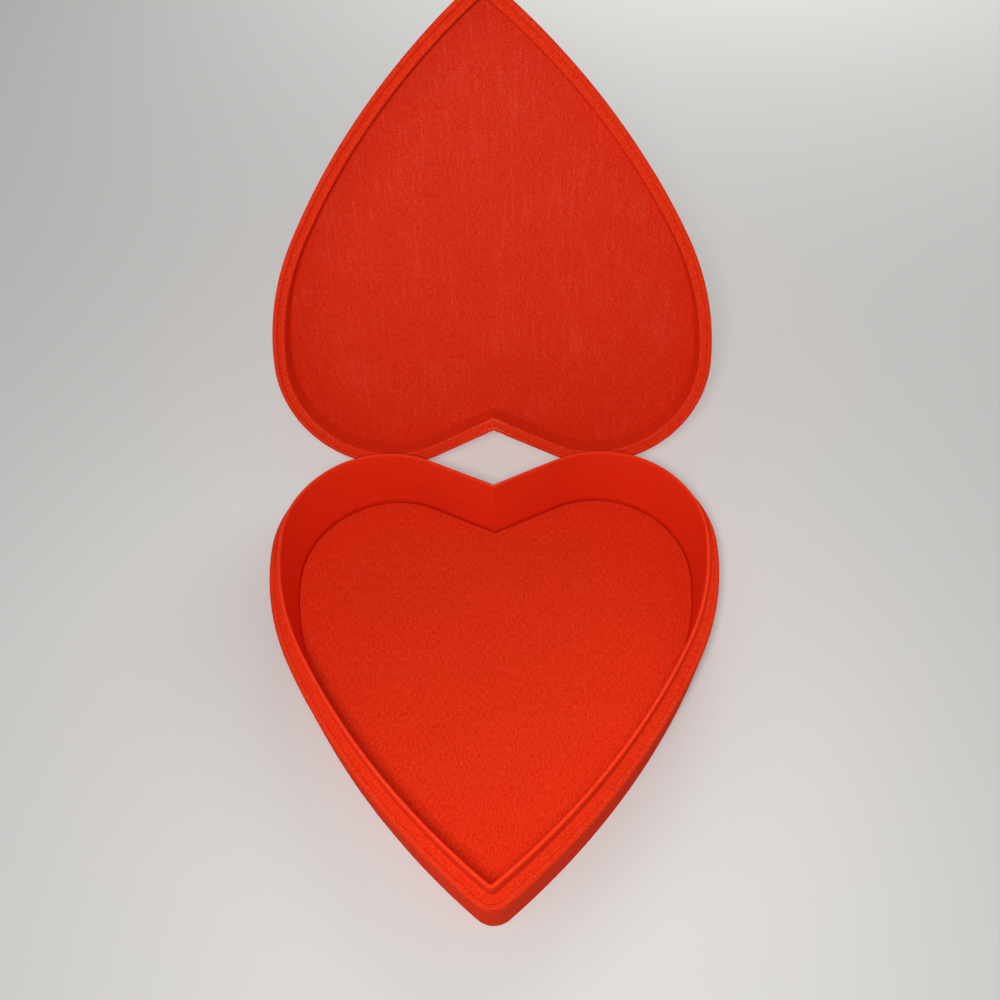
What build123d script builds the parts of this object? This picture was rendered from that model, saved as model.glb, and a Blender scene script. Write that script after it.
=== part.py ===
"""Cloth-covered heart box: a tray with a raised neck, and a lid on two cloth hinge tapes.

Millimetres. +Z is up, +Y runs from the tip to the lobes, and the origin is on the underside of
the base, midway between the lobe centres. The lid is stored open, leaning back behind the base.
"""

import os
from math import acos, asin, atan2, cos, degrees, hypot, radians, sin, sqrt

from build123d import *

# Heart outline, on the outside of the cloth
heart_width = 260.0
lobe_spacing = 129.0
cleft_angle = 116.0  # round each lobe from +X, where the straight run to the cleft starts
lobe_end_angle = 2.0  # below +X, where the lobe turns into the upper side
upper_side_end_angle = 30.0  # below +X, where the upper side turns into the lower side
upper_side_radius = 158.0
lower_side_radius = 396.0
tip_radius = 13.0
tip_tightening = 1.3  # a layer further in turns the tip this much tighter than its inset
fold_radius = 0.6  # the tightest that board and cloth fold, as at the cleft

# Sheet goods
cloth = 0.5
wall_board = 1.5
neck_stiffener = 1.0
flat_board = 2.0  # bottom of the base and top of the lid
inner_card = 1.0  # floor of the base and panel of the lid
card_clearance = 0.3  # round the floor card
panel_clearance = 1.4  # round the lid panel, which leaves a dark groove

# Base
rim_height = 42.0
rim_round = 2.2
band_drop = 0.6  # the ledge lies this far below the rim
ledge_width = 7.4  # outer face to neck
neck_rise = 12.0  # above the rim
turn_in = 9.0  # cloth folded under the base

# Lid
lid_depth = 22.0
lid_rim_round = 0.9
lid_top_round = 1.9
lid_step = 2.5  # from the rim back to the band inside it
lid_skirt = 4.0  # the top cloth laps this far down the side
neck_clearance = 0.9

# Hinge line along X, inside the rounded back edge of the base
hinge_inset = 3.5
hinge_drop = 4.6
closed_gap = 0.6  # between the two rims when the lid is shut
stop_gap = 0.36  # from the open lid's rim to the back of the base
tape = 0.3
tape_width = 28.0
tape_reach = 6.0  # down the back of the base
tape_margin = 0.3  # from the neck

# Insets from the outer face, and heights, that follow from the sizes above
wall = cloth + wall_board + cloth
neck_inside = ledge_width + cloth + neck_stiffener + cloth
lid_inside = ledge_width - neck_clearance
neck_top = rim_height + neck_rise
ledge_top = rim_height - band_drop
board_top = cloth + flat_board
panel_back = lid_depth - cloth - flat_board

lobe_radius = (heart_width - lobe_spacing) / 2
lobe_centre = Vector(lobe_spacing / 2, 0)

# The open lid swings back until the round of its rim comes within the stop gap of the base
hinge_y = lobe_radius - hinge_inset
hinge_z = rim_height - hinge_drop
rim_corner_y = hinge_inset - lid_rim_round
rim_corner_z = hinge_drop + closed_gap + lid_rim_round
stop_reach = (hinge_inset + stop_gap + lid_rim_round) / hypot(rim_corner_y, rim_corner_z)
lid_opening = degrees(atan2(rim_corner_z, rim_corner_y) + acos(stop_reach))

lid_normal = Vector(0, 0, 1).rotate(Axis.X, -lid_opening)
lid_arm = Vector(0, -hinge_y, hinge_drop + closed_gap).rotate(Axis.X, -lid_opening)
lid_plane = Plane(Vector(0, hinge_y, hinge_z) + lid_arm, x_dir=(1, 0, 0), z_dir=lid_normal)
lid_axis = Axis(lid_plane.origin, lid_normal)


def toward(angle):
    return Vector(cos(radians(angle)), sin(radians(angle)))


def heart_outline(inset):
    """The heart's edge, moved in from the outer face of the cloth."""
    upper_centre = lobe_centre - toward(-lobe_end_angle) * (upper_side_radius - lobe_radius)
    lower_step = lower_side_radius - upper_side_radius
    lower_centre = upper_centre - toward(-upper_side_end_angle) * lower_step

    tip_bend = max(tip_radius - tip_tightening * inset, fold_radius)
    tip_reach = lower_side_radius - inset - tip_bend
    tip_centre = Vector(0, lower_centre.Y - sqrt(tip_reach**2 - lower_centre.X**2))
    tip_arm = tip_centre - lower_centre
    tip_angle = degrees(atan2(tip_arm.Y, tip_arm.X))

    run = toward(cleft_angle)
    run_start = lobe_centre + run * (lobe_radius - inset)
    fold_y = (lobe_radius - inset + fold_radius + lobe_centre.X * run.X) / run.Y
    fold_centre = Vector(0, fold_y)
    run_end = fold_centre - run * fold_radius

    with BuildLine() as outline:
        right_side = [
            Line(run_end, run_start),
            CenterArc(lobe_centre, lobe_radius - inset, cleft_angle, -cleft_angle - lobe_end_angle),
            CenterArc(
                upper_centre,
                upper_side_radius - inset,
                -lobe_end_angle,
                lobe_end_angle - upper_side_end_angle,
            ),
            CenterArc(
                lower_centre,
                lower_side_radius - inset,
                -upper_side_end_angle,
                tip_angle + upper_side_end_angle,
            ),
        ]
        mirror(right_side, about=Plane.YZ)
        CenterArc(tip_centre, tip_bend, tip_angle, -180 - 2 * tip_angle)
        CenterArc(fold_centre, fold_radius, cleft_angle - 180, 180 - 2 * cleft_angle)
    return outline.line


def heart_ring(outer, inner):
    make_face(heart_outline(outer))
    make_face(heart_outline(inner), mode=Mode.SUBTRACT)


# Base: bottom and outer wall
with BuildPart() as base_bottom_paper:
    with BuildSketch():
        make_face(heart_outline(turn_in))
    extrude(amount=cloth)

with BuildPart() as base_bottom_board:
    with BuildSketch(Plane.XY.offset(cloth)):
        make_face(heart_outline(wall))
    extrude(amount=flat_board)

with BuildPart() as base_wall_board:
    with BuildSketch(Plane.XY.offset(cloth)):
        make_face(heart_outline(cloth))
    extrude(amount=rim_height - 2 * cloth)
    fillet(base_wall_board.edges().group_by(Axis.Z)[-1], rim_round - cloth)
    with BuildSketch(Plane.XY.offset(cloth)):
        make_face(heart_outline(cloth + wall_board))
    extrude(amount=rim_height, mode=Mode.SUBTRACT)

# One cloth: up the outside, over the rim, down the inside, and folded in under the bottom
with BuildPart() as base_wall_cloth:
    with BuildSketch():
        make_face(heart_outline(0))
    extrude(amount=rim_height)
    fillet(base_wall_cloth.edges().group_by(Axis.Z)[-1], rim_round)
    with BuildSketch(Plane.XY.offset(cloth)):
        make_face(heart_outline(wall))
    extrude(amount=rim_height, mode=Mode.SUBTRACT)
    with BuildSketch():
        make_face(heart_outline(turn_in))
    extrude(amount=cloth, mode=Mode.SUBTRACT)
    add(base_wall_board.part, mode=Mode.SUBTRACT)

# Base: spacer that carries the ledge, neck, and floor
with BuildPart() as base_spacer:
    with BuildSketch(Plane.XY.offset(board_top)):
        heart_ring(wall, ledge_width + cloth)
    extrude(amount=ledge_top - cloth - board_top)

with BuildPart() as ledge_cloth:
    with BuildSketch(Plane.XY.offset(ledge_top - cloth)):
        heart_ring(wall, ledge_width)
    extrude(amount=cloth)

with BuildPart() as neck_board:
    with BuildSketch(Plane.XY.offset(board_top)):
        heart_ring(ledge_width + cloth, neck_inside - cloth)
    extrude(amount=neck_top - cloth - board_top)

with BuildPart() as neck_cloth:
    with BuildSketch(Plane.XY.offset(board_top)):
        heart_ring(neck_inside - cloth, neck_inside)
    extrude(amount=neck_top - board_top)
    with BuildSketch(Plane.XY.offset(ledge_top - cloth)):
        heart_ring(ledge_width, ledge_width + cloth)
    extrude(amount=neck_top - ledge_top + cloth)
    with BuildSketch(Plane.XY.offset(neck_top - cloth)):
        heart_ring(ledge_width, neck_inside)
    extrude(amount=cloth)

with BuildPart() as floor_card:
    with BuildSketch(Plane.XY.offset(board_top)):
        make_face(heart_outline(neck_inside + card_clearance))
    extrude(amount=inner_card)

with BuildPart() as floor_cloth:
    with BuildSketch(Plane.XY.offset(board_top + inner_card)):
        make_face(heart_outline(neck_inside + card_clearance))
    extrude(amount=cloth)

# Lid, measured back from its rim along the lid's own axis
with BuildPart() as lid_core:
    with BuildSketch(lid_plane.offset(cloth)):
        make_face(heart_outline(cloth))
    extrude(amount=lid_depth - 2 * cloth)
    fillet(lid_core.edges().group_by(lid_axis)[-1], lid_top_round - cloth)

with BuildPart() as lid_wall_board:
    add(lid_core.part)
    with BuildSketch(lid_plane):
        make_face(heart_outline(cloth + wall_board))
    extrude(amount=lid_depth, mode=Mode.SUBTRACT)

with BuildPart() as lid_wall_cloth:
    with BuildSketch(lid_plane):
        make_face(heart_outline(0))
    extrude(amount=lid_depth - lid_skirt)
    fillet(lid_wall_cloth.edges().group_by(lid_axis)[0], lid_rim_round)
    with BuildSketch(lid_plane):
        make_face(heart_outline(wall))
    extrude(amount=lid_depth, mode=Mode.SUBTRACT)
    add(lid_wall_board.part, mode=Mode.SUBTRACT)

with BuildPart() as lid_top_cloth:
    with BuildSketch(lid_plane.offset(lid_depth - lid_skirt)):
        make_face(heart_outline(0))
    extrude(amount=lid_skirt)
    fillet(lid_top_cloth.edges().group_by(lid_axis)[-1], lid_top_round)
    add(lid_core.part, mode=Mode.SUBTRACT)

with BuildPart() as lid_top_board:
    with BuildSketch(lid_plane.offset(panel_back)):
        make_face(heart_outline(cloth + wall_board))
    extrude(amount=flat_board)

with BuildPart() as lid_spacer:
    with BuildSketch(lid_plane.offset(lid_step + cloth)):
        heart_ring(wall, lid_inside - cloth)
    extrude(amount=panel_back - lid_step - cloth)

with BuildPart() as lid_lining_cloth:
    with BuildSketch(lid_plane.offset(lid_step)):
        heart_ring(wall, lid_inside)
    extrude(amount=cloth)
    with BuildSketch(lid_plane.offset(lid_step)):
        heart_ring(lid_inside - cloth, lid_inside)
    extrude(amount=panel_back - lid_step)

with BuildPart() as lid_panel_card:
    with BuildSketch(lid_plane.offset(panel_back - inner_card)):
        make_face(heart_outline(lid_inside + panel_clearance))
    extrude(amount=inner_card)

with BuildPart() as lid_panel_cloth:
    with BuildSketch(lid_plane.offset(panel_back - inner_card - cloth)):
        make_face(heart_outline(lid_inside + panel_clearance))
    extrude(amount=cloth)

# Hinge tapes: glued on the ledge, over the rim and down the back of each lobe to the lid's rim
tape_span = 2 * degrees(asin(tape_width / 2 / lobe_radius))
tape_start = lobe_radius - ledge_width + tape_margin
step_in = lobe_radius - wall
round_start = lobe_radius - rim_round
round_end = rim_height - rim_round
tape_end = rim_height - rim_round - tape_reach


def tape_section():
    with BuildLine() as section:
        Polyline(
            (round_start, rim_height),
            (step_in, rim_height),
            (step_in, ledge_top),
            (tape_start, ledge_top),
            (tape_start, ledge_top + tape),
            (step_in - tape, ledge_top + tape),
            (step_in - tape, rim_height + tape),
            (round_start, rim_height + tape),
        )
        CenterArc((round_start, round_end), rim_round + tape, 90, -90)
        Polyline(
            (lobe_radius + tape, round_end),
            (lobe_radius + tape, tape_end),
            (lobe_radius, tape_end),
            (lobe_radius, round_end),
        )
        CenterArc((round_start, round_end), rim_round, 0, 90)
    return section.line


# Each section stands on a vertical plane through its lobe's centre, turned to the tape's near edge
near_edge = toward(90 - tape_span / 2)

with BuildPart() as right_hinge_tape:
    with BuildSketch(Plane(lobe_centre, x_dir=near_edge, z_dir=near_edge.cross(Vector(0, 0, 1)))):
        make_face(tape_section())
    revolve(axis=Axis(lobe_centre, (0, 0, 1)), revolution_arc=tape_span)

with BuildPart() as left_hinge_tape:
    add(mirror(right_hinge_tape.part, about=Plane.YZ, mode=Mode.PRIVATE))

pieces = {
    "base_bottom_paper": base_bottom_paper,
    "base_bottom_board": base_bottom_board,
    "base_wall_board": base_wall_board,
    "base_wall_cloth": base_wall_cloth,
    "base_spacer": base_spacer,
    "ledge_cloth": ledge_cloth,
    "neck_board": neck_board,
    "neck_cloth": neck_cloth,
    "floor_card": floor_card,
    "floor_cloth": floor_cloth,
    "lid_wall_board": lid_wall_board,
    "lid_wall_cloth": lid_wall_cloth,
    "lid_top_cloth": lid_top_cloth,
    "lid_top_board": lid_top_board,
    "lid_spacer": lid_spacer,
    "lid_lining_cloth": lid_lining_cloth,
    "lid_panel_card": lid_panel_card,
    "lid_panel_cloth": lid_panel_cloth,
    "right_hinge_tape": right_hinge_tape,
    "left_hinge_tape": left_hinge_tape,
}

os.makedirs("parts", exist_ok=True)
for name, piece in pieces.items():
    piece.part.label = name
    export_step(piece.part, f"parts/{name}.step")

print(f"hinge line at y {hinge_y:.3f}, z {hinge_z:.3f}, lid open {lid_opening:.3f} degrees")
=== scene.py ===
from math import atan2, cos, degrees, hypot, pi, radians, sin, sqrt
import bmesh
import bpy
from mathutils import Matrix, Vector, noise


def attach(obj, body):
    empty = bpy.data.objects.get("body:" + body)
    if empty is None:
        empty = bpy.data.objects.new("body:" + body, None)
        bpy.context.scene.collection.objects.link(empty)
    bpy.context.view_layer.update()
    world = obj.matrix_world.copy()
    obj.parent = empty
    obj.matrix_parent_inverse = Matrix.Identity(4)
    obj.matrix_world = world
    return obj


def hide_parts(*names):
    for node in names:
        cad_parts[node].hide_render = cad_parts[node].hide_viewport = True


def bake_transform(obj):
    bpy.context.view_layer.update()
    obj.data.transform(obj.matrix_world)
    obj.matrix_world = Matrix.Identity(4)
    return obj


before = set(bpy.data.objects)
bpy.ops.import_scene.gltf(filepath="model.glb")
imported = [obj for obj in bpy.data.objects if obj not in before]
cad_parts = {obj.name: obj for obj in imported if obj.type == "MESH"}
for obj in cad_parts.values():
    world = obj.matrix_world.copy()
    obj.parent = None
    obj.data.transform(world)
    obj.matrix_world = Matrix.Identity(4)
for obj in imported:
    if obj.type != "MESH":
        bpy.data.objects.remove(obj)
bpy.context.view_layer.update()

mm = 0.001
print("frame loaded,", len(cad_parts), "nodes")

# heart outline, mm, on the outside of the cloth
heart = {
    "lobe": Vector((64.5, 0, 0)), "lobeRadius": 65.5,
    "cleftAngle": 116, "lobeEnd": -2, "upperEnd": -30,
    "upperRadius": 158, "lowerRadius": 396,
    "tipRadius": 13, "tipTightening": 1.3, "foldRadius": 0.6,
    "foldSteps": 3, "runSteps": 40, "lobeSteps": 64, "upperSteps": 36, "lowerSteps": 70, "tipSteps": 9,
}

# the open lid: middle of the lobe line on the rim plane, and how far it leans back
lidPlace = {"origin": (0, 89.11, 93.40), "turn": -111.038}
lidMatrix = Matrix.Translation(lidPlace["origin"]) @ Matrix.Rotation(radians(lidPlace["turn"]), 4, "X")

# how the cloth lies: a slow waver off the board, puckers over the rolls and at the cleft, wear and painted
# highlight on cleft folds
ripple = {
    "waverAlong": 0.045, "waverAcross": 0.09, "plateWaver": 0.025,
    "puckerAlong": 0.22, "puckerSeed": 5, "cleftGrain": 0.5, "cleftFoldBoost": 1.6,
}
# cuts that divide a plate, so that it can waver
plateCuts = {"across": range(-108, 109, 12), "along": range(-184, 50, 12), "shift": 0.37}


def toward(degreesRound):
    return Vector((cos(radians(degreesRound)), sin(radians(degreesRound)), 0))


def sweep(bm, vert, centre, degreesRound, steps):
    made = bmesh.ops.spin(bm, geom=[vert], cent=centre, axis=(0, 0, 1), angle=radians(degreesRound),
                          steps=steps, use_merge=False, use_normal_flip=False, use_duplicate=False)
    return [e for e in made["geom_last"] if isinstance(e, bmesh.types.BMVert)][0]


# right half by spinning one vertex from arc to arc, then mirrored; verts come back in order
def heartLoop(bm, inset):
    h = heart
    lobe, radius = h["lobe"], h["lobeRadius"]
    upper = lobe - toward(h["lobeEnd"]) * (h["upperRadius"] - radius)
    lower = upper - toward(h["upperEnd"]) * (h["lowerRadius"] - h["upperRadius"])
    tipBend = max(h["tipRadius"] - h["tipTightening"] * inset, h["foldRadius"])
    reach = h["lowerRadius"] - inset - tipBend
    tip = Vector((0, lower.y - sqrt(reach ** 2 - lower.x ** 2), 0))
    tipAngle = degrees(atan2(tip.y - lower.y, tip.x - lower.x))
    run = toward(h["cleftAngle"])
    fold = Vector((0, (radius - inset + h["foldRadius"] + lobe.x * run.x) / run.y, 0))
    runStart = lobe + run * (radius - inset)

    first = bm.verts.new(fold - Vector((0, h["foldRadius"], 0)))
    vert = sweep(bm, first, fold, h["cleftAngle"] - 90, h["foldSteps"])
    step = (runStart - vert.co) / h["runSteps"]
    for i in range(h["runSteps"]):
        vert = bmesh.ops.extrude_vert_indiv(bm, verts=[vert])["verts"][0]
        vert.co += step
    vert = sweep(bm, vert, lobe, h["lobeEnd"] - h["cleftAngle"], h["lobeSteps"])
    vert = sweep(bm, vert, upper, h["upperEnd"] - h["lobeEnd"], h["upperSteps"])
    vert = sweep(bm, vert, lower, tipAngle - h["upperEnd"], h["lowerSteps"])
    vert = sweep(bm, vert, tip, -90 - tipAngle, h["tipSteps"])
    vert.co.x = 0
    bmesh.ops.mirror(bm, geom=bm.verts[:] + bm.edges[:], matrix=Matrix(), merge_dist=1e-4, axis="X")
    nextTo = [e.other_vert(first) for e in first.link_edges]
    loop = [first, [v for v in nextTo if v.co.x > 0][0]]
    while loop[-1] is not first:
        nextTo = [e.other_vert(loop[-1]) for e in loop[-1].link_edges]
        loop.append([v for v in nextTo if v is not loop[-2]][0])
    return loop[:-1]


def loopPoints(inset):
    scratch = bmesh.new()
    points = [v.co.copy() for v in heartLoop(scratch, inset)]
    scratch.free()
    return points


def rollOver(centre, radius, start, end, steps):
    angles = [radians(start + (end - start) * i / steps) for i in range(steps + 1)]
    return [(centre[0] + radius * cos(angle), centre[1] + radius * sin(angle)) for angle in angles]


# a loop at the first point of the section, extruded from point to point; gives the girth and the last edges
def stripRings(bm, at, piece):
    section = piece["section"]
    middle = loopPoints(sum(inset for inset, height in section) / len(section))
    measure = [0]
    for k in range(1, len(middle) + 1):
        measure.append(measure[-1] + (middle[k % len(middle)] - middle[k - 1]).length)
    girth = measure[-1]
    overall = sum(hypot(b[0] - a[0], b[1] - a[1]) for a, b in zip(section, section[1:]))
    ring = heartLoop(bm, section[0][0])
    edges = bm.edges[:]
    travelled = 0
    for i, (inset, height) in enumerate(section):
        if i:
            travelled += hypot(inset - section[i - 1][0], height - section[i - 1][1])
            made = bmesh.ops.extrude_edge_only(bm, edges=edges)["geom"]
            fresh = {v for v in made if isinstance(v, bmesh.types.BMVert)}
            edges = [e for e in made if isinstance(e, bmesh.types.BMEdge) and set(e.verts) <= fresh]
            ring = [[e.other_vert(v) for e in v.link_edges if e.other_vert(v) in fresh][0] for v in ring]
        points = loopPoints(inset)
        # where this ring lies when the rolled edge of a plate is opened out flat
        flat = loopPoints(section[-1][0] - overall + travelled) if piece.get("closed") else points
        fold = max([0] + [1 - hypot(inset - x, height - z) / reach for x, z, reach in piece["folds"]])
        for k, v in enumerate(ring):
            v.co = (points[k].x, points[k].y, height)
            v[at["along"]], v[at["across"]] = measure[k], travelled
            v[at["flatX"]], v[at["flatY"]] = flat[k].x, flat[k].y
            v[at["cleft"]] = max(0, 1 - min(measure[k], girth - measure[k]) / piece["cleftReach"])
            v[at["fold"]] = fold * (1 + ripple["cleftFoldBoost"] * v[at["cleft"]])
    return girth, edges


def closePlate(bm, at, edges):
    plate = bmesh.ops.contextual_create(bm, geom=edges)["faces"]
    for axis, cuts in ((Vector((1, 0, 0)), plateCuts["across"]), (Vector((0, 1, 0)), plateCuts["along"])):
        for cut in cuts:
            plateEdges = dict.fromkeys(e for f in plate for e in f.edges)
            plateVerts = dict.fromkeys(v for f in plate for v in f.verts)
            spot = axis * (cut + plateCuts["shift"])
            made = bmesh.ops.bisect_plane(bm, geom=plate + list(plateEdges) + list(plateVerts),
                                          plane_co=spot, plane_no=axis, dist=1e-5)
            plate = [f for f in made["geom"] if isinstance(f, bmesh.types.BMFace)]
    for v in dict.fromkeys(v for f in plate for v in f.verts):
        v[at["flatX"]], v[at["flatY"]] = v.co.x, v.co.y


# cloth faces away from the board under it
def turnOutward(bm, piece):
    bmesh.ops.recalc_face_normals(bm, faces=bm.faces[:])
    bm.normal_update()
    test = min(bm.faces, key=lambda f: (f.calc_center_median() - Vector(piece["faceAt"])).length)
    if test.normal.dot(Vector(piece["facing"])) < 0:
        bmesh.ops.reverse_faces(bm, faces=bm.faces[:])
    bm.normal_update()


# threads run round the heart and across a strip, and straight over a plate
def layThreads(bm, at, uv, piece, girth):
    for f in bm.faces:
        f.smooth = True
        spots = [v[at["along"]] for v in f.verts]
        wraps = max(spots) - min(spots) > girth / 2
        for loop in f.loops:
            v = loop.vert
            if piece.get("closed"):
                loop[uv].uv = (v[at["flatX"]] * mm, v[at["flatY"]] * mm)
            else:
                u = v[at["along"]] + (girth if wraps and v[at["along"]] < girth / 2 else 0)
                loop[uv].uv = (u * mm, v[at["across"]] * mm)


def wrinkle(bm, at, piece):
    seed = Vector((0, 0, piece["seed"]))
    for v in bm.verts:
        along, across = v[at["along"]], v[at["across"]]
        spot = Vector((along * ripple["waverAlong"], across * ripple["waverAcross"], 0)) + seed
        if piece.get("closed"):
            spot = v.co * ripple["plateWaver"] + seed
        pucker = Vector((along * ripple["puckerAlong"], 0, piece["seed"] + ripple["puckerSeed"]))
        lift = piece["waver"] * (0.5 + 0.5 * noise.noise(spot))
        lift += piece["pucker"] * v[at["fold"]] * noise.noise(pucker)
        lift += piece["cleftPucker"] * v[at["cleft"]] * noise.noise(v.co * ripple["cleftGrain"] + seed)
        v.co += v.normal * lift


def clothStrip(name, piece):
    bm = bmesh.new()
    labels = ("along", "across", "fold", "cleft", "flatX", "flatY")
    at = {label: bm.verts.layers.float.new(label) for label in labels}
    uv = bm.loops.layers.uv.new("threads")
    girth, edges = stripRings(bm, at, piece)
    if piece.get("closed"):
        closePlate(bm, at, edges)
    turnOutward(bm, piece)
    layThreads(bm, at, uv, piece, girth)
    wrinkle(bm, at, piece)
    bmesh.ops.transform(bm, matrix=Matrix.Scale(mm, 4) @ piece["place"], verts=bm.verts[:])
    return finishPiece(name, bm, piece)


def finishPiece(name, bm, piece):
    mesh = bpy.data.meshes.new(name)
    bm.to_mesh(mesh)
    bm.free()
    obj = bpy.data.objects.new(name, mesh)
    bpy.context.collection.objects.link(obj)
    thick = obj.modifiers.new("clothThickness", "SOLIDIFY")
    thick.thickness = piece["thickness"] * mm
    thick.offset = -1
    obj.data.materials.append(piece["material"])
    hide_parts(*piece["nodes"])
    print("piece", name, len(mesh.polygons), "faces")
    return obj


# shader groups
def newGroup(name, inputs, outputs):
    group = bpy.data.node_groups.new(name, "ShaderNodeTree")
    group.interface.new_socket("Vector", in_out="INPUT", socket_type="NodeSocketVector")
    for label in inputs:
        group.interface.new_socket(label, in_out="INPUT", socket_type="NodeSocketFloat")
    for label in outputs:
        group.interface.new_socket(label, in_out="OUTPUT", socket_type="NodeSocketFloat")
    return group, group.nodes.new("NodeGroupInput"), group.nodes.new("NodeGroupOutput")


def wire(tree, value, socket):
    if isinstance(value, (int, float)):
        socket.default_value = value
    else:
        tree.links.new(value, socket)


def maths(tree, operation, a, b=0.0):
    node = tree.nodes.new("ShaderNodeMath")
    node.operation = operation
    wire(tree, a, node.inputs[0])
    wire(tree, b, node.inputs[1])
    return node.outputs[0]


def plus(tree, a, b):
    return maths(tree, "ADD", a, b)


def minus(tree, a, b):
    return maths(tree, "SUBTRACT", a, b)


def times(tree, a, b):
    return maths(tree, "MULTIPLY", a, b)


def vectorMaths(tree, operation, a, b):
    node = tree.nodes.new("ShaderNodeVectorMath")
    node.operation = operation
    tree.links.new(a, node.inputs[0])
    if operation == "SCALE":
        tree.links.new(b, node.inputs["Scale"])
    elif isinstance(b, tuple):
        node.inputs[1].default_value = b
    else:
        tree.links.new(b, node.inputs[1])
    return node.outputs[0]


def cloud(tree, vector, scale, detail=2.0, rough=0.5):
    node = tree.nodes.new("ShaderNodeTexNoise")
    tree.links.new(vector, node.inputs["Vector"])
    wire(tree, scale, node.inputs["Scale"])
    node.inputs["Detail"].default_value = detail
    node.inputs["Roughness"].default_value = rough
    return node.outputs["Fac"], node.outputs["Color"]


def spread(tree, value, low, high, toLow=0.0, toHigh=1.0):
    node = tree.nodes.new("ShaderNodeMapRange")
    node.interpolation_type = "SMOOTHSTEP"
    wire(tree, value, node.inputs["Value"])
    for label, number in (("From Min", low), ("From Max", high), ("To Min", toLow), ("To Max", toHigh)):
        wire(tree, number, node.inputs[label])
    return node.outputs["Result"]


def blendColour(tree, factor, a, b):
    node = tree.nodes.new("ShaderNodeMix")
    node.data_type = "RGBA"
    wire(tree, factor, node.inputs[0])
    for value, socket in ((a, node.inputs[6]), (b, node.inputs[7])):
        if isinstance(value, tuple):
            socket.default_value = (*value, 1)
        else:
            tree.links.new(value, socket)
    return node.outputs[2]


def splitVector(tree, vector):
    node = tree.nodes.new("ShaderNodeSeparateXYZ")
    tree.links.new(vector, node.inputs[0])
    return node.outputs[0], node.outputs[1]


# plain weave: warp over weft over warp, threads of slightly different tone; the sunk threads are painted
# darker, as painted shade
weaveLook = {"wanderScale": 260.0, "sunk": 0.5, "threadTone": 0.45, "heightShade": 0.55}


def makeWeave():
    group, inp, out = newGroup("plainWeave", ["Threads", "Wander"], ["Height", "ToneAndShade"])
    vector = inp.outputs["Vector"]
    wander = cloud(group, vector, weaveLook["wanderScale"])[1]
    centred = vectorMaths(group, "SUBTRACT", wander, (0.5, 0.5, 0.5))
    scaled = vectorMaths(group, "SCALE", vector, inp.outputs["Threads"])
    drift = vectorMaths(group, "SCALE", centred, inp.outputs["Wander"])
    x, y = splitVector(group, vectorMaths(group, "ADD", scaled, drift))
    xCell, yCell = maths(group, "FLOOR", x), maths(group, "FLOOR", y)
    warp = maths(group, "ABSOLUTE", maths(group, "SINE", times(group, x, pi)))
    weft = maths(group, "ABSOLUTE", maths(group, "SINE", times(group, y, pi)))
    parity = maths(group, "ABSOLUTE", maths(group, "MODULO", plus(group, xCell, yCell), 2.0))
    sunk = weaveLook["sunk"]
    over = group.nodes.new("ShaderNodeMix")
    group.links.new(parity, over.inputs[0])
    group.links.new(times(group, warp, plus(group, times(group, weft, sunk), 1 - sunk)), over.inputs[2])
    group.links.new(times(group, weft, plus(group, times(group, warp, sunk), 1 - sunk)), over.inputs[3])
    height = over.outputs[0]
    group.links.new(height, out.inputs["Height"])
    tones = []
    for cell in (xCell, yCell):
        one = group.nodes.new("ShaderNodeTexWhiteNoise")
        one.noise_dimensions = "1D"
        group.links.new(cell, one.inputs["W"])
        tones.append(one.outputs["Value"])
    threadTone = times(group, plus(group, tones[0], tones[1]), 0.5)
    toneAndShade = plus(group, times(group, threadTone, weaveLook["threadTone"]),
                times(group, height, weaveLook["heightShade"]))
    group.links.new(toneAndShade, out.inputs["ToneAndShade"])
    return group


# thick slubs in the thread, drawn out one way and broken into specks
slubLook = {
    "fineDetail": 4.0, "fineRough": 0.75, "broadScale": 28.0, "broadDetail": 3.0, "broadRough": 0.6,
    "broadShare": 0.5, "speckScale": 1150.0, "speckLow": 0.42, "speckHigh": 0.68,
    "bare": 0.98, "coverShare": 0.5, "soft": 0.2,
}


def makeSlubs():
    group, inp, out = newGroup("slubStreaks", ["Across", "Along", "Cover"], ["Streak", "Fleck"])
    vector = inp.outputs["Vector"]
    x, y = splitVector(group, vector)
    drawn = group.nodes.new("ShaderNodeCombineXYZ")
    group.links.new(times(group, x, inp.outputs["Across"]), drawn.inputs[0])
    group.links.new(times(group, y, inp.outputs["Along"]), drawn.inputs[1])
    fine = cloud(group, drawn.outputs[0], 1.0, slubLook["fineDetail"], slubLook["fineRough"])[0]
    broad = cloud(group, vector, slubLook["broadScale"], slubLook["broadDetail"], slubLook["broadRough"])[0]
    specks = cloud(group, vector, slubLook["speckScale"], 1.0)[0]
    low = minus(group, slubLook["bare"], times(group, inp.outputs["Cover"], slubLook["coverShare"]))
    raised = plus(group, fine, times(group, minus(group, broad, 0.5), slubLook["broadShare"]))
    streak = spread(group, raised, minus(group, low, slubLook["soft"]), low)
    group.links.new(streak, out.inputs["Streak"])
    broken = spread(group, specks, slubLook["speckLow"], slubLook["speckHigh"])
    group.links.new(times(group, streak, broken), out.inputs["Fleck"])
    return group


# slow and fine changes of tone, as dyed stuff has
mottleLook = {
    "broadDetail": 3.0, "broadRough": 0.55, "fineRough": 0.7, "drawn": (1.0, 0.22, 1.0),
    "specks": 0.62, "threads": 0.38, "patchScale": 75.0, "patchRough": 0.6,
    "patchLow": 0.3, "patchHigh": 0.7, "softest": 0.24, "hardest": 0.14,
}


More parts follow.
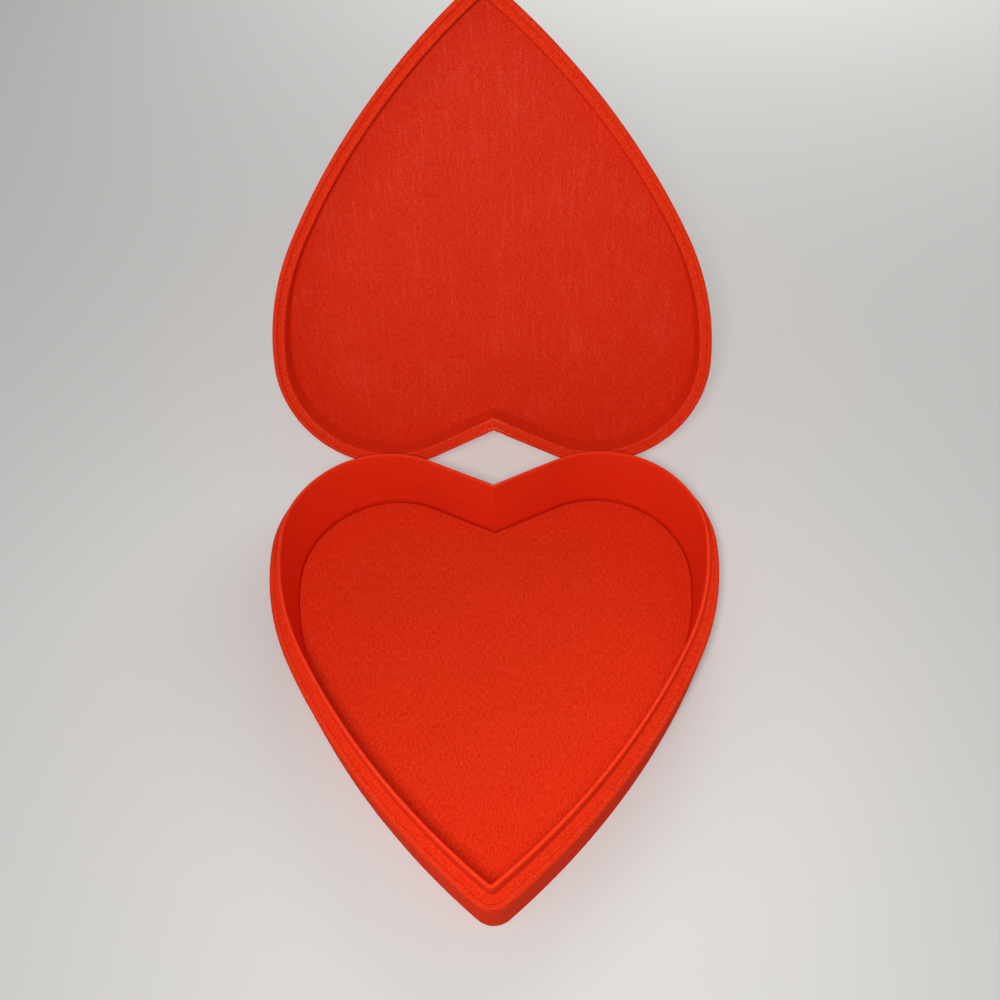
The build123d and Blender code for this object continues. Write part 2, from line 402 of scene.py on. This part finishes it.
def makeMottle():
    group, inp, out = newGroup("dyeMottle", ["Broad", "Fine"], ["Broad", "Grain"])
    vector, fine = inp.outputs["Vector"], inp.outputs["Fine"]
    broad = cloud(group, vector, inp.outputs["Broad"], mottleLook["broadDetail"], mottleLook["broadRough"])[0]
    group.links.new(broad, out.inputs["Broad"])
    specks = cloud(group, vector, fine, 1.0, mottleLook["fineRough"])[0]
    upright = vectorMaths(group, "MULTIPLY", vector, mottleLook["drawn"])
    threads = cloud(group, upright, fine, 1.0, mottleLook["fineRough"])[0]
    mixed = plus(group, times(group, specks, mottleLook["specks"]),
                 times(group, threads, mottleLook["threads"]))
    patch = cloud(group, vector, mottleLook["patchScale"], 2.0, mottleLook["patchRough"])[0]
    half = spread(group, patch, mottleLook["patchLow"], mottleLook["patchHigh"],
                  mottleLook["softest"], mottleLook["hardest"])
    grain = spread(group, mixed, minus(group, 0.5, half), plus(group, 0.5, half))
    group.links.new(grain, out.inputs["Grain"])
    return group


weaveGroup, slubGroup, mottleGroup = makeWeave(), makeSlubs(), makeMottle()
print("shader groups done")


def useGroup(tree, group, vector, **values):
    node = tree.nodes.new("ShaderNodeGroup")
    node.node_tree = group
    tree.links.new(vector, node.inputs["Vector"])
    for label, value in values.items():
        node.inputs[label].default_value = value
    return node.outputs


def newMaterial(name):
    material = bpy.data.materials.new(name)
    material.use_nodes = True
    tree = material.node_tree
    return material, tree, tree.nodes["Principled BSDF"]


def addBump(tree, skin, height, strength, distance):
    bump = tree.nodes.new("ShaderNodeBump")
    bump.inputs["Strength"].default_value = strength
    bump.inputs["Distance"].default_value = distance
    tree.links.new(height, bump.inputs["Height"])
    tree.links.new(bump.outputs["Normal"], skin.inputs["Normal"])


def clothMaterial(name, look):
    material, tree, skin = newMaterial(name)
    uvNode = tree.nodes.new("ShaderNodeUVMap")
    uvNode.uv_map = "threads"
    vector = uvNode.outputs["UV"]
    weave = useGroup(tree, weaveGroup, vector, Threads=look["threads"], Wander=look["wander"])
    slubs = useGroup(tree, slubGroup, vector, Across=look["slubAcross"], Along=look["slubAlong"],
                     Cover=look["slubCover"])
    mottle = useGroup(tree, mottleGroup, vector, Broad=look["broad"], Fine=look["fine"])
    toneAndShade, grain, streak, fleck = weave["ToneAndShade"], mottle["Grain"], slubs["Streak"], slubs["Fleck"]
    foldNode = tree.nodes.new("ShaderNodeAttribute")
    foldNode.attribute_name = "fold"

    colour = blendColour(tree, mottle["Broad"], look["deep"], look["dye"])
    # painted shade: the weave's sunk threads are darkened toward the dark colour
    sunk = times(tree, minus(tree, 1.0, toneAndShade), look["weaveShade"])
    colour = blendColour(tree, sunk, colour, look["shadeAndDarkGrain"])
    # the grain darkens at random toward the same dark colour
    darkGrain = times(tree, minus(tree, 1.0, grain), look["grainDark"])
    colour = blendColour(tree, darkGrain, colour, look["shadeAndDarkGrain"])
    colour = blendColour(tree, times(tree, grain, look["grain"]), colour, look["pale"])
    colour = blendColour(tree, times(tree, streak, look["streak"]), colour, look["slub"])
    # slub flecks are painted pale pink: partly their own colour, partly painted glint of shiny fibres
    colour = blendColour(tree, times(tree, fleck, look["fleck"]), colour, look["fleckAndGlint"])
    # folds and cut edges are painted paler: partly wear, partly painted highlight where the fuzz of a fold
    # catches light
    onFold = spread(tree, foldNode.outputs["Fac"], look["wearAndHighlightLow"], look["wearAndHighlightHigh"])
    wearAndHighlight = times(tree, onFold, times(tree, grain, look["edge"]))
    tree.links.new(blendColour(tree, wearAndHighlight, colour, look["edgeWearAndHighlight"]), skin.inputs["Base Color"])

    shine = plus(tree, fleck, times(tree, toneAndShade, look["toneShine"]))
    tree.links.new(spread(tree, shine, 0.0, 1.0, look["rough"], look["gloss"]), skin.inputs["Roughness"])
    raised = plus(tree, times(tree, streak, look["slubRelief"]), times(tree, grain, look["grainRelief"]))
    addBump(tree, skin, plus(tree, weave["Height"], raised), look["bump"], look["bumpDistance"])
    skin.inputs["Specular IOR Level"].default_value = look["specular"]
    skin.inputs["Sheen Weight"].default_value = look["sheen"]
    skin.inputs["Sheen Roughness"].default_value = look["sheenRough"]
    skin.inputs["Sheen Tint"].default_value = (*look["sheenTint"], 1)
    return material


redCloth = {
    "dye": (0.74, 0.017, 0.001), "deep": (0.67, 0.012, 0.0005), "shadeAndDarkGrain": (0.36, 0.003, 0.0003),
    "pale": (0.95, 0.16, 0.052), "slub": (0.82, 0.07, 0.02), "fleckAndGlint": (0.88, 0.20, 0.12),
    "edgeWearAndHighlight": (0.92, 0.17, 0.10), "edge": 0.7, "wearAndHighlightLow": 0.35, "wearAndHighlightHigh": 2.0,
    "threads": 2300.0, "wander": 0.5, "weaveShade": 0.30,
    "broad": 20.0, "fine": 1350.0, "grain": 0.24, "grainDark": 0.22,
    "slubAcross": 420.0, "slubAlong": 60.0, "slubCover": 0.45, "streak": 0.02, "fleck": 0.03,
    "rough": 0.9, "gloss": 0.7, "toneShine": 0.25, "specular": 0.02,
    "bump": 0.35, "bumpDistance": 0.00012, "slubRelief": 0.3, "grainRelief": 0.5,
    "sheen": 0.22, "sheenRough": 0.5, "sheenTint": (1.0, 0.05, 0.012),
}
wallCloth = clothMaterial("wallCloth", redCloth)
liningCloth = clothMaterial("liningCloth", {**redCloth, "slubCover": 0.52, "streak": 0.06, "fleck": 0.05})
# the neck's lining is the floor's cloth painted lighter: painted light on the neck's inner walls
neckLiningLit = clothMaterial("neckLiningLit", {
    **redCloth, "dye": (0.83, 0.024, 0.003), "deep": (0.75, 0.018, 0.002), "grain": 0.16, "grainDark": 0.12})
# the panel's flecks are denser and pinker: more painted glint
panelCloth = clothMaterial("panelCloth", {
    **redCloth, "dye": (0.665, 0.010, 0.0005), "deep": (0.60, 0.007, 0.0005), "pale": (0.93, 0.125, 0.024),
    "fleckAndGlint": (0.88, 0.22, 0.16), "slubCover": 0.60, "slubAlong": 42.0, "streak": 0.04, "fleck": 0.12,
    "rough": 0.60, "gloss": 0.38, "specular": 0.08})
tapeCloth = clothMaterial("tapeCloth", {
    **redCloth, "dye": (0.55, 0.012, 0.002), "deep": (0.46, 0.009, 0.0015),
    "threads": 1700.0, "weaveShade": 0.5})


def boardMaterial(name, look):
    material, tree, skin = newMaterial(name)
    vector = tree.nodes.new("ShaderNodeTexCoord").outputs["Object"]
    mottle = useGroup(tree, mottleGroup, vector, Broad=look["broad"], Fine=look["fine"])
    slubs = useGroup(tree, slubGroup, vector, Across=look["fibreAcross"], Along=look["fibreAlong"],
                     Cover=look["fibreCover"])
    colour = blendColour(tree, mottle["Broad"], look["dark"], look["light"])
    colour = blendColour(tree, times(tree, mottle["Grain"], look["grain"]), colour, look["speck"])
    colour = blendColour(tree, times(tree, slubs["Streak"], look["fibre"]), colour, look["light"])
    tree.links.new(colour, skin.inputs["Base Color"])
    roughness = spread(tree, mottle["Grain"], 0.0, 1.0, look["smooth"], look["rough"])
    tree.links.new(roughness, skin.inputs["Roughness"])
    addBump(tree, skin, mottle["Grain"], look["bump"], look["bumpDistance"])
    skin.inputs["Specular IOR Level"].default_value = look["specular"]
    return material


boardLook = {
    "dark": (0.36, 0.33, 0.28), "light": (0.52, 0.49, 0.43), "speck": (0.22, 0.20, 0.17), "grain": 0.35,
    "broad": 40.0, "fine": 1200.0, "fibreAcross": 900.0, "fibreAlong": 120.0, "fibreCover": 0.6, "fibre": 0.3,
    "smooth": 0.82, "rough": 0.95, "bump": 0.25, "bumpDistance": 0.00015, "specular": 0.25,
}
greyBoard = boardMaterial("greyBoard", boardLook)
undersidePaper = boardMaterial("undersidePaper", {
    **boardLook, "dark": (0.36, 0.014, 0.008), "light": (0.46, 0.02, 0.012), "speck": (0.26, 0.01, 0.006),
    "grain": 0.3, "broad": 30.0, "fine": 1500.0, "fibreAcross": 700.0, "fibreAlong": 150.0, "fibre": 0.25})
boardNodes = ("base_bottom_board", "base_wall_board", "base_spacer", "neck_board", "floor_card",
              "lid_wall_board", "lid_top_board", "lid_spacer", "lid_panel_card")
for nodeName, material in [(n, greyBoard) for n in boardNodes] + [("base_bottom_paper", undersidePaper)]:
    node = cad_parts[nodeName]
    node.data.materials.clear()
    node.data.materials.append(material)
print("materials done")

# cloth of the base; a section is a row of insets from the outer face and heights, mm
# a fold is an inset, a height and how far it reaches
clothPiece = {
    "place": Matrix(), "thickness": 0.42, "waver": 0.12, "pucker": 0.1, "seed": 1.0, "folds": [],
    "cleftReach": 10.0, "cleftPucker": 0.5, "faceAt": (130, 0, 20), "facing": (1, 0, 0),
}
baseWall = {
    **clothPiece, "nodes": ["base_wall_cloth"], "slot": "wall_cloth", "material": wallCloth,
    "section": [(9.0, 0.0), (5.0, 0.0), (1.4, 0.0)] + rollOver((0.7, 0.7), 0.7, 270, 180, 5)
    + [(0, 1.6), (0, 9), (0, 18), (0, 27), (0, 35), (0, 38.6)] + rollOver((2.2, 39.8), 2.2, 180, 90, 9)
    + [(2.55, 41.95), (2.85, 41.8), (3.02, 41.6), (2.95, 41.3), (2.6, 40.9), (2.5, 36)],
    "folds": [(1.2, 41.7, 0.5), (2.3, 42.0, 0.5), (0.2, 0.2, 1.2)],
}
ledge = {
    **clothPiece, "nodes": ["ledge_cloth"], "slot": "wall_cloth", "material": wallCloth,
    "seed": 2.0, "waver": 0.08,
    "section": [(2.8, 41.2), (2.95, 41.42), (3.2, 41.54), (3.7, 41.58), (4.6, 41.53), (5.8, 41.47),
                (6.7, 41.44), (7.2, 41.46), (7.42, 41.6)],
    "faceAt": (125, 0, 41.5), "facing": (0, 0, 1),
}
neck = {
    **clothPiece, "nodes": ["neck_cloth"], "slot": "lining_cloth", "material": neckLiningLit, "seed": 3.0,
    "section": [(7.4, 40.92), (7.4, 42), (7.4, 46), (7.4, 50), (7.4, 52.4)]
    + rollOver((8.4, 53.0), 1.0, 180, 0, 10)
    + [(9.4, 52.4), (9.4, 48), (9.4, 40), (9.4, 30), (9.4, 20), (9.4, 10), (9.4, 2.55)],
    "folds": [(8.4, 54.0, 1.1)], "faceAt": (121, 0, 54), "facing": (0, 0, 1),
}
floorCloth = {
    **clothPiece, "nodes": ["floor_cloth"], "slot": "lining_cloth", "material": liningCloth, "seed": 4.0,
    "section": [(9.2, 4.0), (9.6, 4.0), (10.4, 4.0), (11.5, 4.0), (14, 4.0)],
    "closed": True, "folds": [(9.5, 4.0, 0.5)], "faceAt": (60, 0, 4), "facing": (0, 0, 1),
}

# cloth of the lid; heights are depths behind the rim
lidPiece = {**clothPiece, "place": lidMatrix}
lidWall = {
    **lidPiece, "nodes": ["lid_wall_cloth"], "slot": "wall_cloth", "material": wallCloth, "seed": 5.0,
    "section": [(0, 17.95), (0, 14), (0, 9), (0, 4), (0, 1.4)] + rollOver((0.9, 0.9), 0.9, 180, 270, 6)
    + [(1.3, 0)] + rollOver((1.6, 0.9), 0.9, 270, 360, 6) + [(2.5, 1.6), (2.5, 3), (2.5, 8)],
    "folds": [(0.4, 0.3, 0.9), (2.3, 0.2, 0.8)], "faceAt": (130, 0, 9),
}
lidTop = {
    **lidPiece, "nodes": ["lid_top_cloth"], "slot": "wall_cloth", "material": wallCloth, "seed": 6.0,
    "section": [(0.05, 17.7), (-0.12, 17.74), (-0.2, 17.9), (-0.2, 18.4), (-0.12, 19.2), (-0.02, 19.8)]
    + rollOver((1.9, 20.1), 1.9, 180, 90, 7) + [(3.2, 22.0), (6, 22.0)],
    "closed": True, "folds": [(0.6, 21.4, 1.4)], "faceAt": (60, 0, 22), "facing": (0, 0, 1),
}
lidLining = {
    **lidPiece, "nodes": ["lid_lining_cloth"], "slot": "lining_cloth", "material": liningCloth,
    "seed": 7.0, "waver": 0.08,
    "section": [(2.25, 1.3), (2.48, 1.6), (2.7, 1.92), (2.95, 2.18), (3.3, 2.36), (3.9, 2.44), (4.6, 2.44)]
    + rollOver((5.4, 3.55), 1.1, 270, 360, 7)
    + [(6.5, 4.4), (6.5, 8), (6.5, 13), (6.5, 17.2), (6.56, 17.8), (6.75, 18.25), (7.1, 18.5), (7.6, 18.6)],
    "folds": [(6.2, 2.8, 1.1)], "faceAt": (126, 0, 2.4), "facing": (0, 0, -1),
}
lidPanel = {
    **lidPiece, "nodes": ["lid_panel_cloth"], "slot": "panel_cloth", "material": panelCloth, "seed": 8.0,
    "section": [(6.8, 18.7), (6.86, 18.45), (7.02, 18.22), (7.3, 18.07), (7.7, 18.0), (8.4, 18.0),
                (9.3, 18.0), (11, 18.0)],
    "closed": True, "folds": [(7.1, 18.2, 0.6)], "faceAt": (60, 0, 18), "facing": (0, 0, -1),
}
pieces = {}
for name, piece, body in (
        ("baseWallCloth", baseWall, "base"), ("ledgeCloth", ledge, "base"), ("neckCloth", neck, "base"),
        ("floorCloth", floorCloth, "base"), ("lidWallCloth", lidWall, "lid"), ("lidTopCloth", lidTop, "lid"),
        ("lidLiningCloth", lidLining, "lid"), ("lidPanelCloth", lidPanel, "lid")):
    pieces[name] = clothStrip(name, piece)
    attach(pieces[name], body)

print("cloth done")

# hinge tapes: on the ledge, over the back rim and down the back, then round the lid's rim
# a leaf is a row of distances from the lobe's centre and heights, mm, spun round the lobe
tapeSettings = {
    "halfAngle": 12.25, "steps": 12, "thickness": 0.28, "slot": "hinge_tape", "material": tapeCloth,
    "baseLeaf": [(58.5, 41.8), (60.5, 41.82), (62.2, 41.8), (62.8, 41.95), (63.05, 42.25)]
    + rollOver((63.3, 39.8), 2.6, 90, 0, 7) + [(65.9, 38.4), (65.9, 36.6), (65.9, 35.0)],
    "lidLeaf": [(63.5, -0.35), (63.1, -0.35), (62.75, -0.2), (62.58, 0.2), (62.58, 1.6), (62.45, 2.0),
                (62.0, 2.12), (60.6, 2.12)],
    "faceAt": (60.5, 41.8), "facing": (0, 0, 1), "joinCuts": 3, "sag": 0.25,
    "blendStart": (0, 65.9, 36.5), "blendEnd": (0, 66.005, 36.166),
}


def tapeLeaf(bm, profile, centre, tape):
    chain, edges = [], []
    for radius, height in profile:
        if chain:
            made = bmesh.ops.extrude_vert_indiv(bm, verts=[chain[-1]])
            chain += made["verts"]
            edges += made["edges"]
        else:
            chain.append(bm.verts.new())
        chain[-1].co = centre + toward(90 - tape["halfAngle"]) * radius + Vector((0, 0, height))
    bmesh.ops.spin(bm, geom=chain + edges, cent=centre, axis=(0, 0, 1), angle=radians(2 * tape["halfAngle"]),
                   steps=tape["steps"], use_duplicate=False)


# boundary edges of a leaf that lie at one point of its profile
def leafEnd(bm, leafVerts, centre, point):
    ends = {v for v in leafVerts if abs(hypot(v.co.x - centre.x, v.co.y) - point[0]) < 1e-3
            and abs(v.co.z - point[1]) < 1e-3}
    return [e for e in bm.edges if e.is_boundary and set(e.verts) <= ends]


def hingeTape(name, side, node):
    tape = {**tapeSettings, "nodes": [node]}
    centre = Vector((side * heart["lobe"].x, 0, 0))
    tape["faceAt"] = (centre.x, *tapeSettings["faceAt"])
    bm = bmesh.new()
    bm.verts.layers.float.new("fold")
    uv = bm.loops.layers.uv.new("threads")
    tapeLeaf(bm, tape["baseLeaf"], centre, tape)
    baseVerts = set(bm.verts)
    tapeLeaf(bm, tape["lidLeaf"], centre, tape)
    lidVerts = [v for v in bm.verts if v not in baseVerts]
    lowBase = leafEnd(bm, baseVerts, centre, tape["baseLeaf"][-1])
    lowLid = leafEnd(bm, lidVerts, centre, tape["lidLeaf"][0])
    bmesh.ops.transform(bm, matrix=lidMatrix, verts=lidVerts)
    joined = bmesh.ops.bridge_loops(bm, edges=lowBase + lowLid)
    cross = [e for e in joined["edges"] if len({v in baseVerts for v in e.verts}) == 2]
    made = bmesh.ops.subdivide_edges(bm, edges=cross, cuts=tape["joinCuts"], use_grid_fill=True)
    for v in made["geom_inner"]:
        if isinstance(v, bmesh.types.BMVert):
            v.co.z -= tape["sag"]
    turnOutward(bm, tape)
    for f in bm.faces:
        f.smooth = True
        for loop in f.loops:
            loop[uv].uv = (loop.vert.co.x * mm, (loop.vert.co.z - loop.vert.co.y) * mm)
    bmesh.ops.scale(bm, vec=(mm, mm, mm), verts=bm.verts[:])
    obj = finishPiece(name, bm, tape)
    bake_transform(obj)


for side, name, node in ((-1, "leftHingeTape", "left_hinge_tape"), (1, "rightHingeTape", "right_hinge_tape")):
    hingeTape(name, side, node)
print("hinge tapes done")

# studio
studioFloor = {"colour": (0.62, 0.615, 0.60, 1), "rough": 0.9, "halfWidth": 4, "drop": -0.0002}
floorMaterial, _, floorSkin = newMaterial("paleFloor")
floorSkin.inputs["Base Color"].default_value = studioFloor["colour"]
floorSkin.inputs["Roughness"].default_value = studioFloor["rough"]
floorMesh = bpy.data.meshes.new("floor")
bm = bmesh.new()
bmesh.ops.create_grid(bm, x_segments=1, y_segments=1, size=studioFloor["halfWidth"])
bmesh.ops.translate(bm, vec=(0, 0, studioFloor["drop"]), verts=bm.verts[:])
bm.to_mesh(floorMesh)
bm.free()
floor = bpy.data.objects.new("floor", floorMesh)
floor.data.materials.append(floorMaterial)
bpy.context.collection.objects.link(floor)

# camera at the photograph's place
camera = {
    "place": (0.011575, -0.253722, 0.433056), "pitch": 0.942893, "yaw": -0.027446, "roll": -0.033763,
    "lens": 28.7295, "sensor": 36, "clipStart": 0.01,
}
cameraData = bpy.data.cameras.new("camera")
cameraData.lens = camera["lens"]
cameraData.sensor_width = camera["sensor"]
cameraData.clip_start = camera["clipStart"]
cameraObject = bpy.data.objects.new("camera", cameraData)
bpy.context.collection.objects.link(cameraObject)
pitch, yaw, roll = camera["pitch"], camera["yaw"], camera["roll"]
forward = Vector((sin(yaw) * cos(pitch), cos(yaw) * cos(pitch), -sin(pitch)))
sideways = Vector((cos(yaw), -sin(yaw), 0))
rise = sideways.cross(forward)
across = sideways * cos(roll) + rise * sin(roll)
upward = rise * cos(roll) - sideways * sin(roll)
facing = Matrix((across, upward, -forward)).transposed().to_4x4()
cameraObject.matrix_world = Matrix.Translation(camera["place"]) @ facing
bpy.context.scene.camera = cameraObject

lamps = {
    "key": {"place": (-0.008, -0.268, 0.449), "aim": (0, 0, 0.06), "size": 0.07, "power": 1.69},
    "left": {"place": (-0.95, -0.50, 0.28), "aim": (0, 0.03, 0.04), "size": 0.5, "power": 1.3},
    "back": {"place": (0.35, 1.25, 0.8), "aim": (0, 0.1, 0.15), "size": 1.0, "power": 12.0},
}
for lampName, lamp in lamps.items():
    lampData = bpy.data.lights.new(lampName, "AREA")
    lampData.size = lamp["size"]
    lampData.energy = lamp["power"]
    lampObject = bpy.data.objects.new(lampName, lampData)
    lampObject.location = lamp["place"]
    lampObject.visible_camera = False
    aim = Vector(lamp["aim"]) - Vector(lamp["place"])
    lampObject.rotation_euler = aim.to_track_quat("-Z", "Y").to_euler()
    bpy.context.collection.objects.link(lampObject)

# the camera sees the backdrop paler than the light it gives the box
skyLook = {"strength": 0.34, "seenExtra": 0.12}
world = bpy.data.worlds.new("studio")
world.use_nodes = True
skyTree = world.node_tree
sky = skyTree.nodes["Background"]
sky.inputs["Color"].default_value = (1, 1, 1, 1)
seen = skyTree.nodes.new("ShaderNodeLightPath").outputs["Is Camera Ray"]
strength = plus(skyTree, times(skyTree, seen, skyLook["seenExtra"]), skyLook["strength"])
skyTree.links.new(strength, sky.inputs["Strength"])
bpy.context.scene.world = world
bpy.context.scene.view_settings.view_transform = "Standard"

print("scene done")
